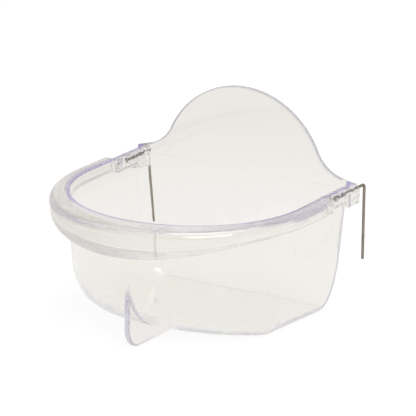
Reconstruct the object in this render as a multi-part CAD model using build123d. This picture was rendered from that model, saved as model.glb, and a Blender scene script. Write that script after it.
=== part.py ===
# Clear seed cup that hangs on cage bars by two bent wire hooks.
# Frame: origin on the surface that the cup stands on, under the centre of its half-round front;
# +X to the right, +Y to the back, +Z up.
import os
from math import atan, atan2, cos, degrees, radians, sin, tan

from build123d import *

# Driving dimensions, in millimetres and degrees

# Well of the cup
rim_height = 55.2  # lip above the standing surface
front_radius = 49.0  # inside of the lip: radius of the front and half the width
side_run = 40.0  # straight side, from the centre of the front to the back wall
wall = 1.8
floor_thickness = 2.2
back_wall = 2.4
draft = 5.5  # lean of the sides and the front
floor_front = 1.5  # front edge of the flat floor, in front of the centre
side_sweep = 10.5  # how far the floor's edge sweeps in from the wall, at the sides
side_splay = 5.0  # angle at which the floor's sides spread towards the back
sweep_rise = 25.0  # height of the sweep
rear_corner = 6.0  # upright outer corners at the back
lip_chamfer = 0.6

# Perch rim, a solid bullnose that grows from the sides to the front
side_reach = 6.6  # overhang from the inside of the lip, at the sides
front_reach = 12.5
side_nose = 5.6  # height of the bullnose at the sides
front_nose = 13.0
nose_start = 15.0  # in front of the centre, where its underside starts to fall
front_tighten = 3.6  # plan radius of its front, less than half its width
rim_round = 3.0  # top outer edge of the bullnose
rim_draft = 8.0  # its outer face leans in below the round
rim_end = 20.0  # from the inside of the back wall
rim_end_chamfer = 0.8

# Arched back plate
plate_thickness = 2.0
arch_radius = 38.5
arch_drop = 5.2  # centre of the arch below the lip
shoulder_rise = 0.8  # outer end of a shoulder above the lip
shoulder_run = 5.0  # straight shoulder, from its outer end to the hollow beside the arch
shoulder_slope = 14.0
plate_chamfer = 0.5
ledge_drop = 1.6  # ledge across the back wall, below the lip

# Sockets for the hooks
wire = 1.2  # diameter of the hooks' wire
socket_offset = 0.5  # hook's axis outside the inside of the lip
crown_radius = 3.0  # round top of a socket, about the hook's axis
crown_drop = 0.2  # top of the crown below the lip
bar_depth = 2.5  # flat underside below the hook's axis, beside the well
boss_depth = 5.0  # and at the deeper rear end
boss_run = 6.0  # deeper rear end, in front of the back wall's outside
boss_stand = 3.5  # socket behind the back wall's outside
socket_chamfer = 0.6
hole_depth = 20.0
hole_clearance = 0.05  # radial, so that the wire turns

# Front foot
fin_thickness = 2.6
fin_inset = 0.7  # its front edge behind the inside of the lip's front
fin_height = 30.0
fin_tail = 8.0  # where it has run out into the floor, from the centre of the front
fin_nose = 9.0
fin_chamfer = 0.6

# Wire hooks, bent by hand, so the two differ
stem_gap = 0.3  # wire's end short of the bottom of its hole
bend_radius = 1.5  # at the middle of the wire
left_stand = 0.2  # straight wire between the socket and the start of the bend
left_leg = 30.5  # from the hook's axis down to the wire's end
left_lean = 6.5  # turn of the left leg towards the middle
right_stand = 7.1
right_leg = 32.0
end_chamfer = 0.2

# Sizes that follow from them
lean = tan(radians(draft))
outer_edge = front_radius + wall
back_outside = side_run + back_wall
ledge_height = rim_height - ledge_drop
rim_back = side_run - rim_end
axis_side = front_radius + socket_offset
axis_height = rim_height - crown_drop - crown_radius
socket_front = rim_back - rim_end_chamfer
socket_back = back_outside + boss_stand
hole_front = socket_back - hole_depth
slack = 1.0  # how far a cutting tool runs past a face

sweep_turns = range(0, 91, 30)  # levels of the sweep between the floor and the wall


def half_round(height, half_width, front, splay, back, corner):
    # Level outline with a round or oval front, straight spreading sides, round rear corners and a flat back.
    spread = radians(splay)
    start = atan(front / half_width * tan(spread))
    side_x = half_width * cos(start)
    side_y = -front * sin(start)
    middle_y = back - corner
    middle_x = side_x + ((middle_y - side_y) * sin(spread) - corner) / cos(spread)
    with BuildSketch(Plane.XY.offset(height)) as outline:
        with BuildLine():
            quarter = 90 - degrees(start)
            EllipticalCenterArc((0, 0), half_width, front, start_angle=270 - quarter, arc_size=quarter)
            EllipticalCenterArc((0, 0), half_width, front, start_angle=270, arc_size=quarter)
            right = CenterArc((middle_x, middle_y), corner, -splay, 90 + splay)
            left = CenterArc((-middle_x, middle_y), corner, 90, 90 + splay)
            Line((side_x, side_y), right @ 0)
            Line(right @ 1, left @ 0)
            Line(left @ 1, (-side_x, side_y))
        make_face()
    return outline.sketch


def well(skin, bottom, back, top):
    # Body from a floor up to a level, set out by a skin from the inside of the well.
    inset = wall - skin
    corner = rear_corner - inset

    def wall_line(height):
        return front_radius + skin - (rim_height - height) * lean

    levels = []
    for turn in sweep_turns:
        height = bottom + (sweep_rise - inset) * (1 - cos(radians(turn)))
        pull = 1 - sin(radians(turn))
        half_width = wall_line(height) - (side_sweep - inset) * pull
        front = wall_line(height) - (wall_line(bottom) - floor_front) * pull
        levels.append(half_round(height, half_width, front, side_splay * pull, back, corner))
    head = half_round(top, wall_line(top), wall_line(top), 0, back, corner)
    return loft(levels) + loft([levels[-1], head], ruled=True)


def lip_flare():
    inside = rear_corner - wall
    rise = lip_chamfer + slack
    low = front_radius - lip_chamfer * lean
    levels = [
        half_round(rim_height - lip_chamfer, low, low, 0, side_run, inside),
        half_round(rim_height + slack, low + rise, low + rise, 0, side_run + rise, inside + rise),
    ]
    return loft(levels, ruled=True)


def perch_rim():
    # Its plan is a front arc between two wider side arcs that meet it straight on.
    edge = front_radius + side_reach
    tip = front_radius + front_reach
    front_curve = edge - front_tighten
    side_curve = tip + (tip - edge) ** 2 / (2 * front_tighten)
    turn = degrees(atan2(tip - front_curve, side_curve - edge))

    low = rim_height - front_nose - slack
    tilt = radians(rim_draft)
    shoulder = rim_height - rim_round * (1 + sin(tilt))
    toe = -rim_round * (1 - cos(tilt)) - (shoulder - low) * tan(tilt)
    root = -front_reach - slack
    with BuildSketch(Plane.XZ) as section:
        with BuildLine():
            nose = CenterArc((-rim_round, rim_height - rim_round), rim_round, 90, -90 - rim_draft)
            Polyline(nose @ 1, (toe, low), (root, low), (root, rim_height), nose @ 0)
        make_face()

    front = Rot(0, 0, turn - 180) * revolve(Pos(front_curve, 0, 0) * section.sketch, Axis.Z, 180 - 2 * turn)
    side = Rot(0, 0, -turn) * revolve(Pos(side_curve, 0, 0) * section.sketch, Axis.Z, turn)
    run = Pos(edge, 0, 0) * extrude(section.sketch, -rim_back)
    run = chamfer(run.faces().sort_by(Axis.Y)[-1].edges().sort_by(Axis.X)[1:], rim_end_chamfer)
    half = Pos(edge - side_curve, 0, 0) * side + run
    rim = Pos(0, front_curve - tip, 0) * front + half + mirror(half, Plane.YZ)

    underside = rim_height - side_nose
    with BuildSketch(Plane.YZ) as below:
        with BuildLine():
            level = Line((rim_back + slack, underside), (-nose_start, underside))
            fall = TangentArc(level @ 1, (-tip, rim_height - front_nose), tangent=level % 1)
            Polyline(fall @ 1, (-tip, low - slack), (rim_back + slack, low - slack), level @ 0)
        make_face()
    return rim - extrude(below.sketch, edge + slack, both=True)


def front_fin():
    with BuildSketch(Plane.YZ) as outline:
        with Locations((-fin_tail, 0)):
            Rectangle(front_radius - fin_inset - fin_tail, fin_height, align=(Align.MAX, Align.MIN))
        fillet(outline.vertices().group_by(Axis.X)[0].sort_by(Axis.Y)[0], fin_nose)
    fin = extrude(outline.sketch, fin_thickness / 2, both=True)
    return chamfer(fin.edges().filter_by(Axis.X, reverse=True), fin_chamfer)


def arched_plate():
    slope = radians(shoulder_slope)
    along = Vector(-cos(slope), sin(slope))
    upright = Vector(sin(slope), cos(slope))
    shoulder = rim_height + shoulder_rise
    foot = Vector(outer_edge - shoulder_run, shoulder + shoulder_run * tan(slope))
    centre = Vector(0, rim_height - arch_drop)
    # A hollow that leaves the shoulder straight on also meets the arch straight on.
    away = foot - centre
    hollow = (away.dot(away) - arch_radius**2) / (2 * (arch_radius - away.dot(upright)))
    meet = away + upright * hollow
    start = degrees(atan2(meet.Y, meet.X))
    with BuildSketch(Plane.XZ.offset(-back_outside)) as outline:
        with BuildLine() as half:
            arch = CenterArc(centre, arch_radius, start, 90 - start)
            TangentArc(foot, arch @ 0, tangent=along)
            Polyline(foot, (outer_edge, shoulder), (outer_edge, ledge_height), (0, ledge_height))
            mirror(half.line, Plane.YZ)
        make_face()
    plate = extrude(outline.sketch, plate_thickness)
    edges = plate.edges().filter_by(lambda edge: edge.center().Z > shoulder).filter_by(Axis.Y, reverse=True)
    return chamfer(edges, plate_chamfer)


def socket(side):
    def tombstone(front, back, depth):
        with BuildSketch(Plane.XZ.offset(-front)) as section:
            with Locations((side * axis_side, axis_height)):
                Circle(crown_radius)
                Rectangle(2 * crown_radius, depth, align=(Align.CENTER, Align.MAX))
        return extrude(section.sketch, front - back)

    bar = tombstone(socket_front, back_outside, bar_depth)
    boss = tombstone(back_outside - boss_run, socket_back, boss_depth)
    boss = chamfer(boss.faces().sort_by(Axis.Y)[-1].edges(), socket_chamfer)
    return bar + boss


def socket_hole(side):
    bottom = Plane((side * axis_side, hole_front, axis_height), z_dir=(0, 1, 0))
    return extrude(bottom * Circle(wire / 2 + hole_clearance), hole_depth + slack)


def cup_moulding():
    cup = well(wall, 0, back_outside, ledge_height) + perch_rim() + front_fin()
    cup -= well(0, floor_thickness, side_run, rim_height + slack) + lip_flare()
    cup += arched_plate()
    for side in (-1, 1):
        cup += socket(side)
        cup -= socket_hole(side)
    return cup


def hook(side, stand, leg, turn):
    leg_plane = socket_back + stand + bend_radius
    path = FilletPolyline(
        (0, hole_front + stem_gap, 0), (0, leg_plane, 0), (0, leg_plane, -leg), radius=bend_radius
    )
    rod = sweep(Plane(path @ 0, z_dir=path % 0) * Circle(wire / 2), path=path)
    rod = chamfer(rod.edges().filter_by(GeomType.CIRCLE).sort_by(Axis.Y)[0], end_chamfer)
    rod = chamfer(rod.edges().filter_by(GeomType.CIRCLE).sort_by(Axis.Z)[0], end_chamfer)
    return Pos(side * axis_side, 0, axis_height) * Rot(0, turn, 0) * rod


nodes = {
    "cup_moulding": cup_moulding(),
    "left_hook": hook(-1, left_stand, left_leg, -left_lean),
    "right_hook": hook(1, right_stand, right_leg, 0),
}

os.makedirs("parts", exist_ok=True)
for name, solid in nodes.items():
    solid.label = name
    export_step(solid, f"parts/{name}.step")
    print(name, "volume", round(solid.volume), "faces", len(solid.faces()))
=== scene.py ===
import math

import bpy
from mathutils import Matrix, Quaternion, Vector


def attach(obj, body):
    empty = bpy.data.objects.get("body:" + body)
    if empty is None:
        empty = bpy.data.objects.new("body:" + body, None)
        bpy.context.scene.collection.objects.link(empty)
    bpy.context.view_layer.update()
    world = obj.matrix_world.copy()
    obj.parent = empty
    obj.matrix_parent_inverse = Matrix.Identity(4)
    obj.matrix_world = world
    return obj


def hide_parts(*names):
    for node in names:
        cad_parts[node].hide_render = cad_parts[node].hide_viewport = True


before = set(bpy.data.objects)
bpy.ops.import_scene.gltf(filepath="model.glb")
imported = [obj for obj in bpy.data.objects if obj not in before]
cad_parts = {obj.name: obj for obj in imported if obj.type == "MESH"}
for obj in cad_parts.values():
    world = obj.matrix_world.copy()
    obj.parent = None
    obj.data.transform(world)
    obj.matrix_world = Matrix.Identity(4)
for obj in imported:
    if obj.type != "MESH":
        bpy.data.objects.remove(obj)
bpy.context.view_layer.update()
scene = bpy.context.scene
scene.view_settings.view_transform = "Standard"
mm = 0.001

# light runs to and fro many times in an edge or in the solid rim before it leaves
bounces = 160
scene.cycles.max_bounces = bounces
scene.cycles.glossy_bounces = bounces
scene.cycles.transmission_bounces = bounces
print("frame loaded:", ", ".join(sorted(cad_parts)))


def toLinear(hexCode):
    channels = []
    for start in (1, 3, 5):
        value = int(hexCode[start:start + 2], 16) / 255
        channels.append(value / 12.92 if value <= 0.04045 else ((value + 0.055) / 1.055) ** 2.4)
    return (*channels, 1.0)


def evenGrey(level):
    return (level, level, level, 1.0)


# an input is given as another node, as one of its sockets or as a constant
def addNode(tree, kind, inputs=None, **settings):
    node = tree.nodes.new(kind)
    for name, value in settings.items():
        setattr(node, name, value)
    for key, value in (inputs or {}).items():
        if isinstance(value, bpy.types.Node):
            value = next(port for port in value.outputs if port.enabled)
        if isinstance(value, bpy.types.NodeSocket):
            tree.links.new(value, node.inputs[key])
        else:
            node.inputs[key].default_value = value
    return node


def newMaterial(name):
    material = bpy.data.materials.new(name)
    material.use_nodes = True
    material.node_tree.nodes.clear()
    return material, material.node_tree


# Clear general-purpose polystyrene, injection moulded in a polished tool: water clear and glossy,
# a warm cast where a wall is seen through, a violet-grey toner that gathers in edges, a painted
# violet shade along the lip, a faint waviness from the mould, dull patches from handling, a perch
# rim scuffed along its run and tinted grey, partly in its scuffs and partly with painted shade that
# is darkest at the left, a painted dark streak on the rim's front that stands for a refracted
# image, matt edges where the two halves of the tool met with painted shade along the plate and fin
# edges, and wavy sinks round the wires.
clearPlastic = {
    "wallTint": "#FDFCF9",
    # the rim's grey tint: grey of its scuffs and painted shade
    "rimScuffAndShadeTint": "#EAE7E3",
    # painted violet shade along the lip
    "lipShadeTint": "#A6A1D4",
    # painted shade along the plate's front and back edges
    "plateEdgeShadeTint": "#D6D4DA",
    # painted shade along the fin's edges
    "finEdgeShadeTint": "#CFCCDE",
    # a painted dark streak on the rim's front, standing for a refracted image
    "paintedStreakTint": "#D0CDC9",
    "tonerTint": "#4C46DA",
    "tonerDensity": 0.55,  # absorption for each metre of plastic
    "ior": 1.59,
    "gloss": 0.015,  # roughness of clean plastic
    "handled": 0.09,  # roughness of a handled patch
    "scuffed": 0.2,  # roughness that a scuff on the rim adds
    "plateHaze": 0.05,  # roughness that the back plate adds
    "edgeMatt": 0.5,  # roughness that a matt edge adds
    "underMatt": 0.18,  # roughness that the underside of the rim adds
    "patchSize": 14.0,  # mm
    "patchSpread": (0.52, 0.78),  # noise where a patch begins and where it is full
    "waveSize": 11.0,  # mm, waviness of the mould
    "waveDepth": 0.012,  # mm
    "scuffWidth": 0.8,  # mm, coarser than real scuffs so that they show
    "scuffLength": 26.0,  # mm
    "scuffDepth": 0.008,  # mm
    "scuffSkew": 0.37,  # keeps the left scuffs from mirroring the right ones
    "scuffSpread": (0.35, 0.7),  # noise where a scuff begins and where it is full
    "greySpread": (0.2, 0.6),  # noise where the rim is least grey and where it is greyest
    "greyLeast": 0.7,  # share of its grey where it is least grey
    "rimShadeAcross": (-12.0, 20.0),  # mm across, painted shade greatest before this and least after it
    "rimShadeLeast": 0.15,  # share of its painted shade at the right
    "sinkSize": 2.7,  # mm
    "sinkDepth": 0.36,  # mm
    "paintedStreakAcross": 18.8,  # mm across, where the painted dark streak lies on the rim's front
    "paintedStreakWidth": 0.9,  # mm
    "paintedStreakWander": 3.0,  # mm
    "paintedStreakRidge": 0.04,  # mm
    "paintedStreakBefore": -50.0,  # mm
    # where the finishes lie, none at the first value and full at the second: starts and ends are
    # mm out from the middle of the well, above, below, behind and before are mm in the frame
    "rimStarts": (49.6, 50.8),
    "rimAbove": (36.0, 41.0),
    "underBelow": (52.0, 51.0),
    "underFacing": (0.6, 0.75),  # how squarely it faces up or down
    "lipStarts": (48.6, 48.85),
    "lipEnds": (51.4, 50.4),
    "lipAbove": (54.3, 54.5),
    "socketStarts": (44.0, 46.0),
    "socketAbove": (47.5, 49.0),
    "socketBehind": (19.0, 22.0),
    "plateAbove": (56.4, 57.2),
    "plateBehind": (39.0, 39.6),
    "plateEdgeFacing": (0.9, 0.8),  # how squarely it faces front or back
    "finBelow": (26.5, 25.5),  # where it runs to a point
    "finPoint": 0.25,  # how fast it narrows to that
    "finBefore": (-24.0, -26.0),
    "finHalf": (1.6, 1.3),  # mm to each side
    "finEdgeFacing": (0.75, 0.6),  # how squarely it faces sideways
}


def clearPolystyrene(values):
    material, tree = newMaterial("clearMouldedPolystyrene")
    coordinates = addNode(tree, "ShaderNodeTexCoord").outputs["Object"]
    place = addNode(tree, "ShaderNodeVectorMath", {0: coordinates, "Scale": 1 / mm},
                    operation="SCALE")  # mm from here on
    axes = addNode(tree, "ShaderNodeSeparateXYZ", {"Vector": place}).outputs
    normal = addNode(tree, "ShaderNodeNewGeometry").outputs["Normal"]
    facing = addNode(tree, "ShaderNodeSeparateXYZ", {"Vector": normal}).outputs
    sideways = addNode(tree, "ShaderNodeMath", {0: facing["X"]}, operation="ABSOLUTE")
    endways = addNode(tree, "ShaderNodeMath", {0: facing["Y"]}, operation="ABSOLUTE")
    upwards = addNode(tree, "ShaderNodeMath", {0: facing["Z"]}, operation="ABSOLUTE")
    across = addNode(tree, "ShaderNodeMath", {0: axes["X"]}, operation="ABSOLUTE")
    pointed = addNode(tree, "ShaderNodeMath", {
        0: across, 1: 1 / values["finPoint"], 2: axes["Z"]}, operation="MULTIPLY_ADD")

    # how far out from the well, the same all along the rim, and how far along it
    ahead = addNode(tree, "ShaderNodeMath", {0: axes["Y"], 1: 0.0}, operation="MINIMUM")
    level = addNode(tree, "ShaderNodeCombineXYZ", {"X": axes["X"], "Y": ahead})
    out = addNode(tree, "ShaderNodeVectorMath", {0: level}, operation="LENGTH")
    skewed = addNode(tree, "ShaderNodeMath", {
        0: axes["X"], 1: values["scuffSkew"], 2: axes["Y"]}, operation="MULTIPLY_ADD")
    along = addNode(tree, "ShaderNodeMath", {0: across, 1: skewed}, operation="ADD")

    # where the finishes lie: each is the product of soft steps
    onRim = ((out, values["rimStarts"]), (axes["Z"], values["rimAbove"]))
    onPlate = ((axes["Z"], values["plateAbove"]), (axes["Y"], values["plateBehind"]))
    places = {
        "rim": onRim,
        "underside": (*onRim, (axes["Z"], values["underBelow"]), (upwards, values["underFacing"])),
        "lip": ((out, values["lipStarts"]), (out, values["lipEnds"]),
                (axes["Z"], values["lipAbove"])),
        "socket": ((out, values["socketStarts"]), (axes["Z"], values["socketAbove"]),
                   (axes["Y"], values["socketBehind"])),
        "plate": onPlate,
        "plateEdge": (*onPlate, (endways, values["plateEdgeFacing"])),
        "finEdge": ((pointed, values["finBelow"]), (axes["Y"], values["finBefore"]),
                    (across, values["finHalf"]), (sideways, values["finEdgeFacing"])),
    }
    share = {}
    for name, steps in places.items():
        for measure, (none, full) in steps:
            step = addNode(tree, "ShaderNodeMapRange", {
                "Value": measure, "From Min": none, "From Max": full},
                interpolation_type="SMOOTHSTEP")
            if name in share:
                step = addNode(tree, "ShaderNodeMath", {0: share[name], 1: step},
                               operation="MULTIPLY")
            share[name] = step

    # roughness: dull patches, scuffs along the rim, haze on the plate and matt edges
    patches = addNode(tree, "ShaderNodeTexNoise", {
        "Vector": place, "Scale": 1 / values["patchSize"], "Detail": 3.0, "Roughness": 0.6})
    rough = addNode(tree, "ShaderNodeMapRange", {
        "Value": patches, "From Min": values["patchSpread"][0],
        "From Max": values["patchSpread"][1], "To Min": values["gloss"],
        "To Max": values["handled"]})
    pressed = addNode(tree, "ShaderNodeMath", {
        0: along, 1: values["scuffWidth"] / values["scuffLength"]}, operation="MULTIPLY")
    run = addNode(tree, "ShaderNodeCombineXYZ", {"X": out, "Y": axes["Z"], "Z": pressed})
    streaks = addNode(tree, "ShaderNodeTexNoise", {
        "Vector": run, "Scale": 1 / values["scuffWidth"], "Detail": 2.0})
    scuffs = addNode(tree, "ShaderNodeMapRange", {
        "Value": streaks, "From Min": values["scuffSpread"][0],
        "From Max": values["scuffSpread"][1]}, interpolation_type="SMOOTHSTEP")
    onScuffs = addNode(tree, "ShaderNodeMath", {0: scuffs, 1: share["rim"]}, operation="MULTIPLY")
    for part, adds in ((onScuffs, "scuffed"), (share["plate"], "plateHaze"),
                       (share["plateEdge"], "edgeMatt"), (share["underside"], "underMatt")):
        rough = addNode(tree, "ShaderNodeMath", {0: part, 1: values[adds], 2: rough},
                        operation="MULTIPLY_ADD")

    # the painted dark streak on the rim's front, standing for a refracted image, straying with the
    # waves of the mould
    wave = addNode(tree, "ShaderNodeTexNoise", {
        "Vector": place, "Scale": 1 / values["waveSize"], "Detail": 1.0})
    stray = addNode(tree, "ShaderNodeMath", {
        0: wave, 1: values["paintedStreakWander"], 2: axes["X"]}, operation="MULTIPLY_ADD")
    middle = values["paintedStreakAcross"] + values["paintedStreakWander"] / 2
    off = addNode(tree, "ShaderNodeMath", {0: stray, 1: middle}, operation="SUBTRACT")
    beside = addNode(tree, "ShaderNodeMath", {0: off}, operation="ABSOLUTE")
    line = addNode(tree, "ShaderNodeMapRange", {
        "Value": beside, "From Max": values["paintedStreakWidth"], "To Min": 1.0, "To Max": 0.0},
        interpolation_type="SMOOTHSTEP")
    front = addNode(tree, "ShaderNodeMath", {0: axes["Y"], 1: values["paintedStreakBefore"]},
                    operation="LESS_THAN")
    onFront = addNode(tree, "ShaderNodeMath", {0: front, 1: share["rim"]}, operation="MULTIPLY")
    streakOnRim = addNode(tree, "ShaderNodeMath", {0: line, 1: onFront}, operation="MULTIPLY")

    # tint: the rim grey in its scuffs and with painted shade darkest at the left, then the painted
    # dark streak, painted shade along the lip and painted shade along the plate and fin edges
    leftShade = addNode(tree, "ShaderNodeMapRange", {
        "Value": axes["X"], "From Min": values["rimShadeAcross"][0], "From Max": values["rimShadeAcross"][1],
        "To Min": 1.0, "To Max": values["rimShadeLeast"]}, interpolation_type="SMOOTHSTEP")
    grey = addNode(tree, "ShaderNodeMapRange", {
        "Value": streaks, "From Min": values["greySpread"][0],
        "From Max": values["greySpread"][1], "To Min": values["greyLeast"], "To Max": 1.0},
        interpolation_type="SMOOTHSTEP")
    scuffTimesShade = addNode(tree, "ShaderNodeMath", {0: grey, 1: leftShade}, operation="MULTIPLY")
    rimScuffShadeShare = addNode(tree, "ShaderNodeMath", {0: scuffTimesShade, 1: share["rim"]}, operation="MULTIPLY")
    tint = toLinear(values["wallTint"])
    for part, colour in ((rimScuffShadeShare, "rimScuffAndShadeTint"), (streakOnRim, "paintedStreakTint"), (share["lip"], "lipShadeTint"),
                         (share["plateEdge"], "plateEdgeShadeTint"), (share["finEdge"], "finEdgeShadeTint")):
        tint = addNode(tree, "ShaderNodeMix", {
            "Factor": part, "A": tint, "B": toLinear(values[colour])}, data_type="RGBA")

    # relief in mm: mould waves, scuffs, sinks round the wires and a faint ridge along the painted
    # streak
    sinks = addNode(tree, "ShaderNodeTexNoise", {
        "Vector": place, "Scale": 1 / values["sinkSize"], "Detail": 0.0})
    relief = addNode(tree, "ShaderNodeMath", {0: wave, 1: values["waveDepth"]},
                     operation="MULTIPLY")
    for height, part, depth in ((streaks, share["rim"], "scuffDepth"),
                                (sinks, share["socket"], "sinkDepth"),
                                (line, onFront, "paintedStreakRidge")):
        raised = addNode(tree, "ShaderNodeMath", {0: height, 1: part}, operation="MULTIPLY")
        relief = addNode(tree, "ShaderNodeMath", {0: raised, 1: values[depth], 2: relief},
                         operation="MULTIPLY_ADD")
    bumps = addNode(tree, "ShaderNodeBump", {"Height": relief, "Distance": mm, "Strength": 1.0})
    surface = addNode(tree, "ShaderNodeBsdfPrincipled", {
        "Base Color": tint, "Roughness": rough, "IOR": values["ior"],
        "Transmission Weight": 1.0, "Normal": bumps})
    toner = addNode(tree, "ShaderNodeVolumeAbsorption", {
        "Color": toLinear(values["tonerTint"]), "Density": values["tonerDensity"]})
    addNode(tree, "ShaderNodeOutputMaterial", {"Surface": surface, "Volume": toner})
    return material


# Drawn steel wire, bare and dull: grey with a brown bloom, fine lines along its length from the
# die, and darker where it is seen along its surface.
wireFinish = {
    "steel": "#A49D91",
    "bloom": "#8D8578",
    "glancing": "#3A352E",
    "roughness": (0.34, 0.52),
    "bloomSize": 6.0,  # mm
    "bloomSpread": (0.35, 0.7),  # noise where the bloom begins and where it is full
    "lineSpacing": 0.22,  # mm round the wire, coarser than real die lines so that they show
    "lineLength": 14.0,  # mm
    "lineDepth": 0.015,  # mm
}


def drawnSteelWire(values):
    material, tree = newMaterial("drawnSteelWire")
    along = addNode(tree, "ShaderNodeAttribute", attribute_name="drawCoord").outputs["Vector"]
    stretched = addNode(tree, "ShaderNodeMapping", {
        "Vector": along, "Scale": (1.0, 1.0, values["lineSpacing"] / values["lineLength"])})
    lines = addNode(tree, "ShaderNodeTexNoise", {
        "Vector": stretched, "Scale": 1 / (values["lineSpacing"] * mm), "Detail": 2.0})
    patches = addNode(tree, "ShaderNodeTexNoise", {
        "Vector": along, "Scale": 1 / (values["bloomSize"] * mm), "Detail": 4.0,
        "Roughness": 0.65})
    amount = addNode(tree, "ShaderNodeMapRange", {
        "Value": patches, "From Min": values["bloomSpread"][0],
        "From Max": values["bloomSpread"][1]})
    colour = addNode(tree, "ShaderNodeMix", {
        "Factor": amount, "A": toLinear(values["steel"]), "B": toLinear(values["bloom"])},
        data_type="RGBA")
    rough = addNode(tree, "ShaderNodeMapRange", {
        "Value": lines, "To Min": values["roughness"][0], "To Max": values["roughness"][1]})
    relief = addNode(tree, "ShaderNodeBump", {
        "Height": lines, "Distance": values["lineDepth"] * mm})
    surface = addNode(tree, "ShaderNodeBsdfPrincipled", {
        "Base Color": colour, "Metallic": 1.0, "Roughness": rough,
        "Specular Tint": toLinear(values["glancing"]), "Normal": relief})
    addNode(tree, "ShaderNodeOutputMaterial", {"Surface": surface})
    return material


plasticMaterial = clearPolystyrene(clearPlastic)
wireMaterial = drawnSteelWire(wireFinish)
print("materials made:", plasticMaterial.name, wireMaterial.name)

# The moulding keeps its CAD shape and gets the clear plastic
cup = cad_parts["cup_moulding"]
cup.data.materials.clear()
cup.data.materials.append(plasticMaterial)
print("cup dressed:", len(cup.data.polygons), "faces")


# Hooks: one wire each, bent once, with the ends nipped off square, in mm and degrees
hooks = {
    "wire": 1.2,
    "bendRadius": 1.5,
    "bendSteps": 12,
    "nipped": 0.2,  # bevel at the ends
    "nippedTo": 0.68,  # share of the wire's width that is left at the very end
    "step": 0.25,  # between two rings of the mesh
    "sides": 20,
    "sharpAngle": 35.0,
    "axisHeight": 52.0,
    "stemStart": 26.2,
    "left": {"across": -49.5, "legPlane": 47.6, "leg": 30.5, "lean": -6.5},
    "right": {"across": 49.5, "legPlane": 54.5, "leg": 32.0, "lean": 0.0},
}


def bentWireTree(material):
    tree = bpy.data.node_groups.new("bentWire", "GeometryNodeTree")
    kinds = {"Bend Steps": "NodeSocketInt", "Sides": "NodeSocketInt",
             "Lean": "NodeSocketVector", "Place": "NodeSocketVector"}
    ports = {}
    for name in ("Wire", "Bend Radius", "Bend Steps", "Nipped", "Nipped To", "Step", "Sides",
                 "Stem Start", "Leg Plane", "Leg", "Lean", "Place"):
        kind = kinds.get(name, "NodeSocketFloat")
        ports[name] = tree.interface.new_socket(name, in_out="INPUT", socket_type=kind).identifier
    tree.interface.new_socket("Wire Mesh", in_out="OUTPUT", socket_type="NodeSocketGeometry")
    given = addNode(tree, "NodeGroupInput").outputs

    # three points: end in the socket, corner, end of the leg
    index = addNode(tree, "GeometryNodeInputIndex")
    pastFirst = addNode(tree, "ShaderNodeMath", {0: index, 1: 1.0}, operation="MINIMUM")
    pastSecond = addNode(tree, "ShaderNodeMath", {0: index, 1: pastFirst}, operation="SUBTRACT")
    stem = addNode(tree, "ShaderNodeMath", {0: given["Leg Plane"], 1: given["Stem Start"]},
                   operation="SUBTRACT")
    back = addNode(tree, "ShaderNodeMath", {0: stem, 1: pastFirst, 2: given["Stem Start"]},
                   operation="MULTIPLY_ADD")
    down = addNode(tree, "ShaderNodeMath", {0: given["Leg"], 1: pastSecond}, operation="MULTIPLY")
    drop = addNode(tree, "ShaderNodeMath", {0: 0.0, 1: down}, operation="SUBTRACT")
    corner = addNode(tree, "ShaderNodeCombineXYZ", {"Y": back, "Z": drop})
    points = addNode(tree, "GeometryNodePoints", {"Count": 3, "Position": corner})
    line = addNode(tree, "GeometryNodePointsToCurves", {"Points": points})
    bent = addNode(tree, "GeometryNodeFilletCurve", {
        "Curve": line, "Radius": given["Bend Radius"], "Count": given["Bend Steps"]}, mode="POLY")
    path = addNode(tree, "GeometryNodeResampleCurve", {"Curve": bent, "Length": given["Step"]},
                   mode="LENGTH")

    # the ends taper by the nip
    passed = addNode(tree, "GeometryNodeSplineParameter").outputs["Length"]
    total = addNode(tree, "GeometryNodeSplineLength").outputs["Length"]
    remaining = addNode(tree, "ShaderNodeMath", {0: total, 1: passed}, operation="SUBTRACT")
    fromEnd = addNode(tree, "ShaderNodeMath", {0: passed, 1: remaining}, operation="MINIMUM")
    girth = addNode(tree, "ShaderNodeMapRange", {
        "Value": fromEnd, "From Max": given["Nipped"], "To Min": given["Nipped To"], "To Max": 1.0})
    radius = addNode(tree, "ShaderNodeMath", {0: given["Wire"], 1: 2.0}, operation="DIVIDE")
    ring = addNode(tree, "GeometryNodeCurvePrimitiveCircle", {
        "Resolution": given["Sides"], "Radius": radius})

    # what the finish reads: place round the wire, and distance along it
    around = addNode(tree, "GeometryNodeCaptureAttribute", {"Geometry": ring})
    around.capture_items.new("VECTOR", "Round")
    tree.links.new(addNode(tree, "GeometryNodeInputPosition").outputs[0], around.inputs["Round"])
    along = addNode(tree, "GeometryNodeCaptureAttribute", {"Geometry": path})
    along.capture_items.new("FLOAT", "Along")
    tree.links.new(passed, along.inputs["Along"])
    solid = addNode(tree, "GeometryNodeCurveToMesh", {
        "Curve": along, "Profile Curve": around, "Scale": girth, "Fill Caps": True})
    split = addNode(tree, "ShaderNodeSeparateXYZ", {"Vector": around.outputs["Round"]}).outputs
    coord = addNode(tree, "ShaderNodeCombineXYZ", {
        "X": split["X"], "Y": split["Y"], "Z": along.outputs["Along"]})
    kept = addNode(tree, "GeometryNodeStoreNamedAttribute", {
        "Geometry": solid, "Name": "drawCoord", "Value": coord},
        data_type="FLOAT_VECTOR", domain="POINT")
    placed = addNode(tree, "GeometryNodeTransform", {
        "Geometry": kept, "Translation": given["Place"], "Rotation": given["Lean"]})
    real = addNode(tree, "GeometryNodeRealizeInstances", {"Geometry": placed})
    finished = addNode(tree, "GeometryNodeSetMaterial", {"Geometry": real, "Material": material})
    addNode(tree, "NodeGroupOutput", {0: finished})
    return tree, ports


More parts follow.
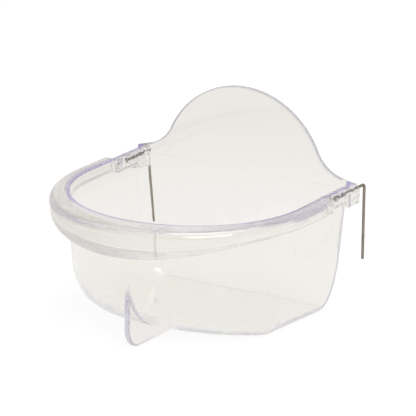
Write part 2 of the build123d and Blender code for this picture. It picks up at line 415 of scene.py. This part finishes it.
def bentWire(name, node, values, tree, ports):
    start = bpy.data.objects.new(name + "Start", bpy.data.meshes.new(name + "Start"))
    scene.collection.objects.link(start)
    modifier = start.modifiers.new("bentWire", "NODES")
    modifier.node_group = tree
    settings = {
        "Wire": hooks["wire"] * mm,
        "Bend Radius": hooks["bendRadius"] * mm,
        "Bend Steps": hooks["bendSteps"],
        "Nipped": hooks["nipped"] * mm,
        "Nipped To": hooks["nippedTo"],
        "Step": hooks["step"] * mm,
        "Sides": hooks["sides"],
        "Stem Start": hooks["stemStart"] * mm,
        "Leg Plane": values["legPlane"] * mm,
        "Leg": values["leg"] * mm,
        "Lean": (0.0, math.radians(values["lean"]), 0.0),
        "Place": (values["across"] * mm, 0.0, hooks["axisHeight"] * mm),
    }
    for port, value in settings.items():
        modifier[ports[port]] = value
    bpy.context.view_layer.update()
    shaped = start.evaluated_get(bpy.context.evaluated_depsgraph_get())
    mesh = bpy.data.meshes.new_from_object(shaped)
    mesh.name = name
    bpy.data.objects.remove(start)
    wire = bpy.data.objects.new(name, mesh)
    scene.collection.objects.link(wire)
    mesh.shade_smooth()
    mesh.set_sharp_from_angle(angle=math.radians(hooks["sharpAngle"]))
    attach(wire, node)
    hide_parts(node)
    print("wire bent:", name, len(mesh.polygons), "faces")


wireTree, wirePorts = bentWireTree(wireMaterial)
bentWire("leftWire", "left_hook", hooks["left"], wireTree, wirePorts)
bentWire("rightWire", "right_hook", hooks["right"], wireTree, wirePorts)


# Studio: white paper floor and surround, with one large soft lamp overhead and one at the side,
# in metres
studio = {
    "floorReach": 3.0,
    "floorDrop": 0.0002,  # keeps it clear of the cup's underside
    "paper": 0.8,
    "cameraWhite": 0.87,  # own light of the floor before the camera
    "shadowShare": 0.19,  # its part that takes the shadow
    "shownWhite": 0.83,  # the same two where the plastic and the wire show it
    "shownShadow": 0.11,
    "paintedPoolPaper": "#FBFAF9",  # a painted pool of light that the clear plastic and the wire see on it close by
    "farPaper": "#F3F1EE",
    "paintedPoolFalloff": (0.09, 0.32),  # where the painted pool of light ends and the far paper begins
    "surround": 0.55,  # light of the surround on everything else
    "lampAim": (0.0, 0.0, 0.04),
    "lamps": {
        "overhead": {"at": (0.22, 0.08, 1.1), "size": (0.8, 0.7), "watts": 5.0},
        "side": {"at": (0.98, -0.62, 0.75), "size": (0.9, 0.8), "watts": 9.0},
    },
}


def paperFloor(values):
    material, tree = newMaterial("whitePaper")
    path = addNode(tree, "ShaderNodeLightPath").outputs
    paper = addNode(tree, "ShaderNodeBsdfDiffuse", {"Color": evenGrey(values["paper"])})
    shade = addNode(tree, "ShaderNodeBsdfDiffuse", {"Color": evenGrey(values["shadowShare"])})
    glow = addNode(tree, "ShaderNodeEmission", {"Strength": values["cameraWhite"]})
    white = addNode(tree, "ShaderNodeAddShader", {0: shade, 1: glow})
    direct = addNode(tree, "ShaderNodeMixShader", {0: path["Is Camera Ray"], 1: paper, 2: white})

    # what the plastic and the wire show, with a painted pool of light close by
    place = addNode(tree, "ShaderNodeTexCoord").outputs["Object"]
    away = addNode(tree, "ShaderNodeVectorMath", {0: place}, operation="LENGTH")
    far = addNode(tree, "ShaderNodeMapRange", {
        "Value": away, "From Min": values["paintedPoolFalloff"][0], "From Max": values["paintedPoolFalloff"][1]},
        interpolation_type="SMOOTHSTEP")
    tone = addNode(tree, "ShaderNodeMix", {
        "Factor": far, "A": toLinear(values["paintedPoolPaper"]), "B": toLinear(values["farPaper"])},
        data_type="RGBA")
    tinted = addNode(tree, "ShaderNodeEmission", {"Color": tone, "Strength": values["shownWhite"]})
    shownShade = addNode(tree, "ShaderNodeBsdfDiffuse", {"Color": evenGrey(values["shownShadow"])})
    shown = addNode(tree, "ShaderNodeAddShader", {0: shownShade, 1: tinted})
    showing = addNode(tree, "ShaderNodeMath", {
        0: path["Is Glossy Ray"], 1: path["Is Transmission Ray"]}, operation="MAXIMUM")
    both = addNode(tree, "ShaderNodeMixShader", {0: showing, 1: direct, 2: shown})
    addNode(tree, "ShaderNodeOutputMaterial", {"Surface": both})

    mesh = bpy.data.meshes.new("floor")
    reach = values["floorReach"]
    corners = [(-reach, -reach, 0), (reach, -reach, 0), (reach, reach, 0), (-reach, reach, 0)]
    mesh.from_pydata(corners, [], [(0, 1, 2, 3)])
    mesh.materials.append(material)
    floor = bpy.data.objects.new("floor", mesh)
    floor.location.z = -values["floorDrop"]
    scene.collection.objects.link(floor)


def surround(values):
    world = bpy.data.worlds.new("studio")
    scene.world = world
    world.use_nodes = True
    tree = world.node_tree
    tree.nodes.clear()
    path = addNode(tree, "ShaderNodeLightPath").outputs
    plain = addNode(tree, "ShaderNodeBackground", {
        "Color": evenGrey(1.0), "Strength": values["surround"]})
    white = addNode(tree, "ShaderNodeBackground", {"Color": evenGrey(1.0), "Strength": 1.0})
    direct = addNode(tree, "ShaderNodeMixShader", {0: path["Is Camera Ray"], 1: plain, 2: white})
    shown = addNode(tree, "ShaderNodeBackground", {
        "Color": toLinear(values["farPaper"]), "Strength": 1.0})
    showing = addNode(tree, "ShaderNodeMath", {
        0: path["Is Glossy Ray"], 1: path["Is Transmission Ray"]}, operation="MAXIMUM")
    both = addNode(tree, "ShaderNodeMixShader", {0: showing, 1: direct, 2: shown})
    addNode(tree, "ShaderNodeOutputWorld", {"Surface": both})


def softLamp(name, values, aimAt):
    lamp = bpy.data.lights.new(name, "AREA")
    lamp.shape = "RECTANGLE"
    lamp.size, lamp.size_y = values["size"]
    lamp.energy = values["watts"]
    holder = bpy.data.objects.new(name, lamp)
    holder.location = values["at"]
    holder.rotation_mode = "QUATERNION"
    aim = Vector(aimAt) - Vector(values["at"])
    holder.rotation_quaternion = aim.to_track_quat("-Z", "Y")
    holder.visible_transmission = False  # no sparks of it in the edges
    scene.collection.objects.link(holder)


paperFloor(studio)
surround(studio)
for lampName, lampValues in studio["lamps"].items():
    softLamp(lampName, lampValues, studio["lampAim"])
print("studio lit")


# Camera at the photograph's angle, in metres and degrees
view = {
    "target": (0.030348, -0.037091, 0.061886),
    "distance": 1.73255,
    "azimuth": 31.05,
    "elevation": 17.06,
    "roll": 0.832,
    "focalPixels": 4413.4,
    "imagePixels": 416,
    "sensor": 36.0,  # mm
}


def photoCamera(values):
    turn, rise = math.radians(values["azimuth"]), math.radians(values["elevation"])
    level = math.cos(rise)
    back = Vector((math.sin(turn) * level, -math.cos(turn) * level, math.sin(rise)))
    camera = bpy.data.cameras.new("photoCamera")
    camera.sensor_width = values["sensor"]
    camera.lens = values["focalPixels"] * values["sensor"] / values["imagePixels"]
    holder = bpy.data.objects.new("photoCamera", camera)
    holder.location = Vector(values["target"]) + back * values["distance"]
    holder.rotation_mode = "QUATERNION"
    roll = Quaternion((0, 0, 1), math.radians(values["roll"]))
    holder.rotation_quaternion = (-back).to_track_quat("-Z", "Y") @ roll
    scene.collection.objects.link(holder)
    scene.camera = holder


photoCamera(view)
print("camera placed")
